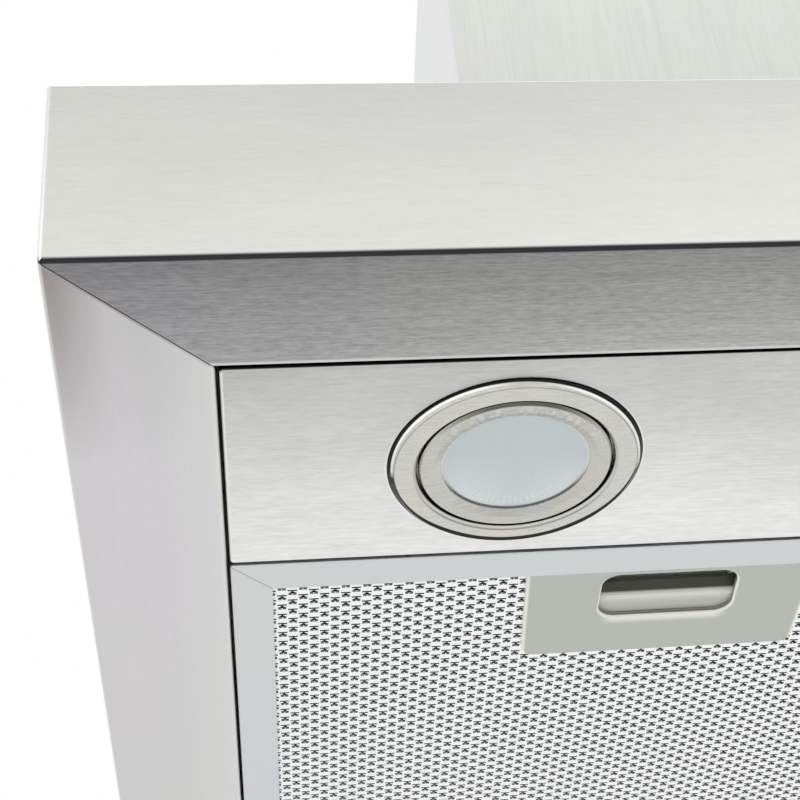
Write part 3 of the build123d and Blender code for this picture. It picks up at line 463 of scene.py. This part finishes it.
def ring_metal():
    """The lamps' outer rings and inner bezels, with the groove between them."""
    made = Finish("lamp_ring_metal", metallic=1.0)
    x, y, z = made.axes()
    radius, dx, dy = from_lamp(x, y)
    ux, uy = dx / radius, dy / radius
    flat_r = LAMP_R - BEVEL
    marks = made.noise((140, 1300, 140), 3.0, 0.6)
    cloud = made.noise((60, 60, 60), 2.0, 0.5)
    tone = made.mix(made.clouds(cloud), RING_STEEL, RING_STEEL_COOL)
    away = made.level(abs(radius - GROOVE_R * MM), 0.0012, 0.002)
    marks = (marks - 0.5) * away + 0.5
    colour = made.scaled(tone, made.spread(marks, 0.9, 1.1))
    bezel = made.fade(radius, (GROOVE_R - 0.5) * MM, (GROOVE_R - 0.3) * MM)
    colour = made.scaled(colour, 1.0 - bezel * 0.1)
    # Short marks across the inner part of the bezel, strongest toward the camera's side
    turn = made.node("CombineXYZ", X=dy.bearing(dx) * 16.0, Y=radius * 350.0)
    ticks = made.number(made.node("TexNoise", Vector=turn.outputs[0], Scale=1.0, Detail=2.0))
    cut = made.level(ticks, 0.42, 0.6, -1.0, 1.0)
    cut = cut * made.fade(radius, 0.0235, 0.0255) * made.fade(uy, -0.75, -0.3)
    colour = made.scaled(colour, cut * 0.12 * away + 1.0)
    # The bevel outside the ring's flat face, in painted reflection: black outside, a grey line
    # at its foot, and a polished white glint inside
    toward = ux * 0.77 - uy * 0.64
    bevel = (radius - flat_r * MM) / (BEVEL * MM)
    start = 0.55 - uy * (ux * 0.22 + 0.22)
    black = made.level(bevel - start, -0.05, 0.05)
    shine = made.level(bevel - start, -0.38, -0.26) * (1.0 - black)
    foot = made.band(bevel - 0.02, 0.04, 0.1) * made.fade(uy, 0.0, 0.3)
    colour = made.mix(foot * 0.5, colour, BEVEL_FOOT)
    glint = made.level(abs(ux + 0.05), 0.1, 0.4) * made.fade(uy, -0.1, 0.3)
    colour = made.mix(shine * glint, colour, BEVEL_HIGHLIGHT)
    # On the far side the bevel hides behind the face, so the gap's painted shadow line is on the
    # face's edge
    far = made.level(uy, 0.0, 0.8)
    width = far * 1.7 * MM * made.level(toward, -0.2, 0.5, 1.0, 0.55)
    rim = made.level(radius - (flat_r * MM - width), 0.0, 0.0002) * made.level(uy, 0.0, 0.1)
    # The groove, painted black as its shade, its wider part on the near side, and a soft line
    # outside it on the far side
    groove = made.band(radius - (GROOVE_R - 0.25) * MM, 0.00036, 0.00052)
    near = made.fade(uy, -0.95, -0.5)
    groove_in = made.band(radius - (GROOVE_R - 0.9) * MM, 0.0005, 0.0009) * near * 0.8
    line = made.band(radius - (GROOVE_R + 1.0) * MM, 0.00015, 0.0004)
    line = line * made.level(uy, 0.2, 0.7)
    colour = made.mix(line * 0.55, colour, RING_LINE)
    # The black of the bevel's painted reflection, the gap's painted shadow line and the groove's
    # painted shade
    low = made.fade(z, over(1.0), over(2.0))
    dark = black.most(rim).most(groove).most(groove_in)
    colour = made.mix(dark * low, colour, SHADE_AND_REFLECTION_BLACK)
    made.surface(colour, made.spread(marks, 0.2, 0.33), marks, 0.2, 0.00005)
    put(made, *(f"lamp_{part}_{side}" for part in ("ring", "bezel") for side in SIDES))


def lamp_glass():
    """Frosted glass with fine ribs near its rear rim."""
    made = Finish("lamp_frosted_glass", roughness=0.35, coat_weight=0.4, coat_roughness=0.1)
    x, y, _ = made.axes()
    radius, dx, dy = from_lamp(x, y)
    # Painted shading: the glass lightens towards its rear, more at its sides than in its middle
    low = made.level(dy, -0.004, 0.017)
    wide = made.level(abs(dx + 0.001), 0.0, 0.014)
    colour = made.mix(low * (wide * 0.6 + 0.4), GLASS_TONE, GLASS_TONE_LIT)
    ribs = (dy.bearing(dx) * 66.0).wave() + made.noise((700, 700, 700), 1.0) * 2.4 - 1.2
    ring = made.band(radius - 0.0168, 0.0012, 0.0022)
    rib = made.level(ribs, 0.0, 0.9) * ring * made.level(dy, 0.004, 0.012)
    colour = made.mix(rib * 0.32, colour, GLASS_RIB)
    # Its rim: painted shade at the rear, and a painted highlight at the front
    rim = made.level(radius, 0.0194, 0.0198)
    lower = made.level(dy, 0.002, 0.012)
    colour = made.mix(rim * lower, colour, GLASS_RIM_SHADE)
    colour = made.mix(rim * (1.0 - lower) * 0.7, colour, GLASS_RIM_HIGHLIGHT)
    speck = made.noise((700, 700, 700), 2.0)
    colour = made.scaled(colour, made.spread(speck, 0.985, 1.015))
    made.surface(colour, made.spread(speck, 0.3, 0.42), rib + speck * 0.1, 0.3, 0.0002)
    put(made, "lamp_lens_left", "lamp_lens_right")


def frame_metal():
    """The filters' channel, with the seams of its mitred corners."""
    made = Finish("filter_frame_metal", metallic=1.0)
    x, y, z = made.axes()
    dx = FILTER_W / 2 * MM - abs(abs(x) - FILTER_X * MM)
    middle = (FILTER_FRONT + FILTER_REAR) / 2
    dy = (FILTER_REAR - FILTER_FRONT) / 2 * MM - abs(y - middle * MM)
    seam = made.band(dx - dy, 0.00008, 0.00022)
    seam = seam * made.fade(dx, (FRAME_W + 0.5) * MM, (FRAME_W + 0.6) * MM)
    cloud = made.noise((14, 14, 14), 3.0)
    speck = made.noise((2400, 2400, 2400), 2.0)
    colour = made.mix(made.clouds(cloud), FRAME_TONE, FRAME_TONE_WARM)
    colour = made.scaled(colour, made.spread(speck, 0.97, 1.03))
    colour = made.mix(seam * 0.8, colour, SEAM_DARK)
    # Painted shade: faces higher than 1.2 to 1.6 mm above the canopy's edge are darkened
    inner = made.level(z, over(1.2), over(1.6))
    colour = made.scaled(colour, made.level(inner, 0, 1, 1.0, 0.7))
    made.surface(colour, made.spread(speck, 0.36, 0.48), speck, 0.15, 0.00004)
    put(made, "filter_frame_left", "filter_frame_right")


def handle_plastic():
    """The filters' handles: painted highlights on the rounded edges, and a finger slot with
    painted shade that darkens inwards.
    """
    made = Finish("handle_plastic", roughness=0.42)
    x, y, z = made.axes()
    nz = made.normal()[Z]
    speck = made.noise((2600, 2600, 2600), 2.0)
    cloud = made.noise((20, 20, 20), 2.0)
    colour = made.mix(made.clouds(cloud), HANDLE_TONE, HANDLE_TONE_COOL)
    # Painted highlights on the edges at both sides, which lean in towards the rear
    across = abs(abs(x) - FILTER_X * MM)
    back = made.level(y, HANDLE_FRONT * MM, (HANDLE_FRONT + HANDLE_D) * MM)
    side = made.level(across + back * HANDLE_TAPER * MM, (HANDLE_W / 2 - 1.2) * MM,
                      (HANDLE_W / 2 - 0.6) * MM)
    colour = made.mix(side * 0.8, colour, EDGE_LIGHT)
    # Painted highlights on the rim behind the slot and on the rounded edges
    glow = made.fade(y, SLOT_REAR * MM, (SLOT_REAR + 3.4) * MM)
    glow = glow * made.level(y, (SLOT_REAR - 1.0) * MM, (SLOT_REAR - 0.5) * MM)
    glow = glow * made.fade(across, SLOT_HALF * MM - 0.005, SLOT_HALF * MM - 0.001)
    lit = (glow * 0.9).most(made.level(nz, -0.97, -0.8) * 0.95)
    low = made.fade(z, over(3.5), over(4.5))
    colour = made.mix(lit * low, colour, RIM_LIGHT)
    # The slot's walls by height, in painted shade and light: a grey face, a dark foot, a dark
    # depth, and a pale ceiling painted lighter than the plastic
    slot = made.fade(across, (HANDLE_W / 4 + 2.0) * MM, (HANDLE_W / 4 + 2.6) * MM)
    colour = made.mix(slot * made.level(z, over(0.9), over(1.3)), colour, SLOT_WALL)
    foot = slot * made.band(z - GROUND - 0.0012, 0.0001, 0.0004)
    colour = made.mix(foot * 0.8, colour, SLOT_FOOT)
    colour = made.mix(slot * made.level(z, over(2.4), over(3.6)), colour, SLOT_DARK)
    colour = made.mix(slot * made.level(z, over(4.5), over(6.0)), colour, SLOT_DEEP)
    colour = made.scaled(colour, made.spread(speck, 0.985, 1.015))
    made.surface(colour, made.spread(speck, 0.38, 0.48), speck, 0.12, 0.00004)
    put(made, "filter_handle_left", "filter_handle_right")


def latch_plastic():
    """The latches, whose sloped ledge shows in the finger slot: painted shade above it, and a
    painted highlight on its crest.
    """
    made = Finish("latch_plastic", roughness=0.4)
    _, y, z = made.axes()
    speck = made.noise((2600, 2600, 2600), 2.0)
    # Painted shade darkens the latch above 3.3 to 3.8 mm and greys the flat beyond the crest,
    # and a painted highlight lies along the crest
    colour = made.mix(made.level(z, over(3.3), over(3.8)), LEDGE_LIGHT, SLOT_DARK)
    flat = made.fade(z, over(2.35), over(2.5))
    crest = made.band(y - LEDGE_CREST * MM, 0.0003, 0.0006)
    colour = made.mix(crest * 0.8, colour, EDGE_LIGHT)
    beyond = made.level(y, (LEDGE_CREST + 0.6) * MM, (LEDGE_CREST + 3.0) * MM)
    colour = made.mix(beyond * flat, colour, LEDGE_GREY)
    colour = made.scaled(colour, made.spread(speck, 0.985, 1.015))
    made.surface(colour, made.spread(speck, 0.36, 0.46), speck, 0.1, 0.00004)
    put(made, "latch_left", "latch_right")


def chimney_steel():
    """Both chimney covers, brushed upright."""
    made = Finish("steel_chimney", metallic=1.0)
    nx = made.normal()[X]
    # Painted light: faces that look along x are lighter than the others
    colour = made.mix(made.level(abs(nx), 0.3, 0.8), CHIMNEY_FACE, CHIMNEY_SIDE)
    brushed(made, colour, Z, 0.05, 0.32, 1300.0, 9.0, 0.2)
    put(made, "lower_chimney", "upper_chimney")


def zinc():
    """Galvanised sheet with its spangle."""
    made = Finish("galvanised_sheet", metallic=1.0)
    crystal = made.node("TexVoronoi", Vector=made.place, Scale=130.0)
    flake = made.number(made.node("SeparateColor", Color=crystal.outputs["Color"]))
    wear = made.noise((40, 40, 40), 4.0)
    colour = made.mix(flake, ZINC_DARK, ZINC_LIGHT)
    colour = made.scaled(colour, made.spread(wear, 0.9, 1.05))
    made.surface(colour, made.level(flake + wear, 0.4, 1.4, 0.33, 0.5), wear, 0.2, 0.0001)
    put(made, "canopy_back", "canopy_top", "blower_box", "upper_bracket", "motor_bracket",
        "capacitor_clip")


def plain_metal(name, tone, rough, scale, *nodes):
    """Bare or plated metal, a little uneven. scale is its speck's waves per metre."""
    made = Finish(name, metallic=1.0)
    cloud = made.noise((scale / 8,) * 3, 3.0)
    speck = made.noise((scale,) * 3, 3.0, 0.6, (2.0, 5.0, 1.0))
    colour = made.scaled(tone, made.level(cloud + speck, 0.7, 1.3, 0.86, 1.08))
    rough = made.level(speck + cloud * 0.5, 0.4, 1.1, rough - 0.06, rough + 0.1)
    made.surface(colour, rough, speck, 0.2, 0.00005)
    put(made, *nodes)


def plastic(name, tone, rough, scale, *nodes):
    """Moulded plastic or rubber. scale is its texture's waves per metre."""
    made = Finish(name)
    cloud = made.noise((scale / 60,) * 3, 3.0)
    speck = made.noise((scale,) * 3, 2.0, 0.5, (4.0, 1.0, 6.0))
    colour = made.scaled(tone, made.level(cloud + speck, 0.7, 1.3, 0.9, 1.1))
    made.surface(colour, made.spread(speck, rough - 0.05, rough + 0.08), speck, 0.2, 0.00005)
    put(made, *nodes)


front_sheet()
side_sheets()
panel()
ring_metal()
lamp_glass()
frame_metal()
handle_plastic()
latch_plastic()
chimney_steel()
zinc()
plain_metal("plated_steel", srgb(200, 200, 202), 0.22, 900.0, "panel_screws",
            "chimney_screws", "bracket_rivets", "blower_screws", "damper_pin", "motor_shaft")
plain_metal("spring_steel", srgb(176, 176, 174), 0.3, 900.0, "lamp_clips",
            "latch_spring_left", "latch_spring_right")
plain_metal("lamp_can_metal", srgb(190, 191, 192), 0.35, 600.0, "lamp_can_left",
            "lamp_can_right")
plain_metal("motor_casting", srgb(172, 174, 176), 0.5, 1200.0, "motor")
plain_metal("button_metal", srgb(205, 205, 207), 0.24, 1100.0,
            *(f"button_{n}" for n in range(1, 6)))
plain_metal("bezel_metal", srgb(200, 200, 200), 0.3, 1100.0, "switch_bezel")
plastic("black_plastic", srgb(46, 46, 48), 0.45, 1800.0, "switch_block", "cord_gland",
        "junction_box")
plastic("white_plastic", srgb(214, 214, 210), 0.4, 1500.0, "run_capacitor", "junction_cover")
plastic("volute_plastic", srgb(62, 62, 65), 0.45, 1600.0, "scroll_wrap", "scroll_left",
        "scroll_right", "impeller")
plastic("collar_plastic", srgb(58, 58, 61), 0.42, 1600.0, "outlet_collar",
        "damper_flap_front", "damper_flap_rear")
plastic("mount_rubber", srgb(38, 38, 38), 0.7, 1400.0, "motor_mounts")
plastic("lamp_light_source", srgb(246, 243, 233), 0.5, 900.0, "lamp_led_left", "lamp_led_right")


# Expanded aluminium mesh of the filters: a flattened sheet with staggered openings, pointed
# strands and tongues on its back that reach into them, and strands deeper in, painted dark as
# shade


def everything(work):
    return work.verts[:] + work.edges[:] + work.faces[:]


def verts_of(made):
    return [g for g in made["geom"] if isinstance(g, bmesh.types.BMVert)]


def hexagon(work):
    """A flat six-sided face. Returns its two corners on the x axis, and the other four."""
    turn = Matrix.Rotation(pi / 2, 4, "Z")
    bmesh.ops.create_circle(work, cap_ends=True, segments=6, radius=1.0, matrix=turn)
    tips = [v for v in work.verts if abs(v.co.y) < 0.1]
    return tips, [v for v in work.verts if v not in tips]


def opening_cell():
    """A six-sided cell of the sheet, flat, with its opening in the middle."""
    work = bmesh.new()
    tips, flats = hexagon(work)
    bmesh.ops.scale(work, verts=tips, vec=(CELL_TIP, 1, 1))
    bmesh.ops.scale(work, verts=flats, vec=(CELL_FLAT / 0.5, PITCH_Y / 2 / sin(pi / 3), 1))
    middle = next(iter(work.faces))
    bmesh.ops.inset_region(work, faces=[middle], thickness=OPENING_INSET, use_boundary=True)
    for corner in middle.verts:
        end = "tip" if abs(corner.co.y) < 0.1 else ("front" if corner.co.y < 0 else "rear")
        x, y = OPENING[end]
        corner.co = (x if corner.co.x > 0 else -x, y, 0)
    bmesh.ops.delete(work, geom=[middle], context="FACES")
    return work


def raise_plate(work, thick):
    """Gives flat faces their thickness, upwards."""
    made = bmesh.ops.extrude_face_region(work, geom=work.faces[:])
    bmesh.ops.translate(work, verts=verts_of(made), vec=(0, 0, thick))


def pointed_strand():
    """A strand from one opening to the next, pointed at both ends, and the tongue beside it."""
    work = bmesh.new()
    tips, flats = hexagon(work)
    for corner in tips:
        wide = PITCH_X / 2 - STRAND_TIP
        corner.co = (wide if corner.co.x > 0 else -wide, STRAND_POINT, 0)
    for corner in flats:
        wide = PITCH_X / 2 - STRAND_SHOULDER
        corner.co = (wide if corner.co.x > 0 else -wide,
                     STRAND_REAR if corner.co.y > 0 else STRAND_FRONT, 0)
    bmesh.ops.translate(work, verts=work.verts, vec=(PITCH_X / 2, 0, 0))
    made = bmesh.ops.create_circle(work, cap_ends=True, segments=3, radius=1.0)["verts"]
    for corner, (x, y) in zip(made, TONGUE):
        corner.co = (x, y, 0)
    raise_plate(work, BACK_T)
    return work


def dark_strand():
    """A straight strand, as wide as the filter."""
    work = bmesh.new()
    bmesh.ops.create_grid(work, x_segments=1, y_segments=1, size=0.5,
                          matrix=Matrix.Diagonal((FILTER_W, DARK_W, 1, 1)))
    raise_plate(work, DARK_T)
    return work


def repeat(work, count, step):
    """Adds copies of all that a bmesh holds, each one step further."""
    whole = everything(work)
    for n in range(1, count + 1):
        made = bmesh.ops.duplicate(work, geom=whole)
        bmesh.ops.translate(work, verts=verts_of(made), vec=[n * s for s in step])


def fill_filter(work, straight=False):
    """Fills the filter with staggered rows of a cell, or plain rows of a long strand.

    What lies beyond the channel or over the handle is cut off.
    """
    half = FILTER_W / 2 - FRAME_W + MESH_TUCK
    front, rear = FILTER_FRONT + FRAME_W - MESH_TUCK, FILTER_REAR - FRAME_W + MESH_TUCK
    columns, rows = int(half / PITCH_X) + 2, int((rear - front) / PITCH_Y) + 4
    if straight:
        repeat(work, int((rear - front) / DARK_STEP) + 1, (0, DARK_STEP, 0))
        start = (0, front, 0)
    else:
        repeat(work, 2 * columns, (PITCH_X, 0, 0))
        repeat(work, 1, (PITCH_X / 2, PITCH_Y / 2, 0))
        repeat(work, rows, (0, PITCH_Y, 0))
        start = (MESH_SLIP[0] - columns * PITCH_X, MESH_SLIP[1] + front - 2 * PITCH_Y, 0)
    bmesh.ops.translate(work, verts=work.verts, vec=start)
    bmesh.ops.remove_doubles(work, verts=work.verts, dist=WELD)
    notch = HANDLE_W / 2 - HANDLE_LAP_SIDE
    notch_rear = FILTER_FRONT + FRAME_W + HANDLE_D - HANDLE_LAP_REAR
    cuts = [((half, 0, 0), (1, 0, 0), True), ((-half, 0, 0), (-1, 0, 0), True),
            ((0, rear, 0), (0, 1, 0), True), ((0, front, 0), (0, -1, 0), True),
            ((notch, 0, 0), (1, 0, 0), False), ((-notch, 0, 0), (-1, 0, 0), False),
            ((0, notch_rear, 0), (0, 1, 0), False)]
    for at, way, clear in cuts:
        bmesh.ops.bisect_plane(work, geom=everything(work), plane_co=at, plane_no=way,
                               clear_outer=clear)
    middles = [(f, f.calc_center_median()) for f in work.faces]
    handle = [f for f, at in middles if abs(at.x) < notch and at.y < notch_rear]
    bmesh.ops.delete(work, geom=handle, context="FACES")


def layer_mesh(name, work, z):
    """Turns a bmesh into a mesh whose underside is at a height."""
    lowest = min(v.co.z for v in work.verts)
    bmesh.ops.translate(work, verts=work.verts, vec=(0, 0, z - lowest))
    bmesh.ops.recalc_face_normals(work, faces=work.faces)
    mesh = bpy.data.meshes.new(name)
    work.to_mesh(mesh)
    work.free()
    return mesh


def sheet_layer():
    """The flattened sheet with its openings."""
    work = opening_cell()
    fill_filter(work)
    bmesh.ops.solidify(work, geom=work.faces[:], thickness=SHEET_T)
    return layer_mesh("filter_mesh_sheet", work, SHEET_Z)


def strand_layer(name, work, z, straight=False):
    """A layer of one strand repeated, closed where the cuts left it open."""
    fill_filter(work, straight)
    bmesh.ops.holes_fill(work, edges=[e for e in work.edges if e.is_boundary])
    return layer_mesh(name, work, z)


def show(name, mesh, finish, body, *stands_for, slot=None):
    """Makes a mesh, drawn in millimetres above the canopy's edge, a piece of the hood."""
    mesh.transform(Matrix.Translation((0, 0, GROUND)) @ Matrix.Scale(MM, 4))
    mesh.materials.append(finish.material)
    piece = bpy.data.objects.new(name, mesh)
    bpy.context.scene.collection.objects.link(piece)
    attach(piece, body)
    if stands_for:
        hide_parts(*stands_for)


def mesh_finish(name, tone):
    """Aluminium of the mesh, with a fine speck."""
    made = Finish(name, metallic=1.0)
    speck = made.noise((900, 900, 900), 2.0, 0.5)
    dull = tuple(c * 0.93 for c in tone)
    colour = made.mix(made.spread(speck, 0.0, 1.0), dull, tone)
    return made.surface(colour, made.spread(speck, 0.3, 0.42), speck, 0.1, 0.00004)


def filter_meshes():
    """Three layers in each filter, the deepest painted dark as shade. The sheet stands for the
    CAD mesh.
    """
    bright = mesh_finish("mesh_aluminium", MESH_BRIGHT)
    shaded = mesh_finish("mesh_aluminium_shaded", MESH_SHADED)
    strands = strand_layer("filter_mesh_strands", pointed_strand(), BACK_Z)
    inner = strand_layer("filter_mesh_inner", dark_strand(), DARK_Z, straight=True)
    layers = [("sheet", sheet_layer(), bright), ("strands", strands, bright),
              ("inner", inner, shaded)]
    for side, sign in SIDES.items():
        for layer, mesh, finish in layers:
            own = mesh.copy()
            own.transform(Matrix.Translation((sign * FILTER_X, 0, 0)))
            nodes = [f"filter_mesh_{side}"] if layer == "sheet" else []
            show(f"filter_mesh_{side}_{layer}", own, finish, f"filter_{side}", *nodes,
                 slot="filter_mesh")


filter_meshes()


# Floor, light and background


def stage():
    """A pale floor well below the hood."""
    bpy.ops.mesh.primitive_plane_add(size=FLOOR_SIZE, location=(0, -0.3, FLOOR_Z))
    floor = bpy.context.object
    floor.name = "floor"
    finish = Finish("floor_white", roughness=0.9)
    speck = finish.noise((3, 3, 3), 3.0)
    finish.link(base_color=finish.mix(speck, FLOOR_DARK, FLOOR_LIGHT))
    floor.data.materials.append(finish.material)


def soft_lamp(name, at, aim, size, power):
    """A rectangular lamp that looks at a point."""
    data = bpy.data.lights.new(name, "AREA")
    data.shape = "RECTANGLE"
    data.size, data.size_y = size
    data.energy = power
    lamp = bpy.data.objects.new(name, data)
    lamp.location = at
    lamp.rotation_mode = "QUATERNION"
    lamp.rotation_quaternion = (Vector(aim) - Vector(at)).to_track_quat("-Z", "Y")
    bpy.context.scene.collection.objects.link(lamp)


def world():
    """A white background, which lights the hood at WORLD_LIGHT."""
    sky = bpy.data.worlds.new("world")
    bpy.context.scene.world = sky
    sky.use_nodes = True
    tree = sky.node_tree
    path = tree.nodes.new("ShaderNodeLightPath")
    seen, gloss, through = (Number(tree, path.outputs[f"Is {kind} Ray"])
                            for kind in ("Camera", "Glossy", "Transmission"))
    shown = seen.most(gloss).most(through)
    strength = shown * (1.0 - WORLD_LIGHT) + WORLD_LIGHT
    back = tree.nodes["Background"]
    back.inputs["Color"].default_value = (1, 1, 1, 1)
    tree.links.new(strength.socket, back.inputs["Strength"])


stage()
world()
for row in LAMPS:
    soft_lamp(*row)
bpy.context.scene.view_settings.view_transform = "Standard"
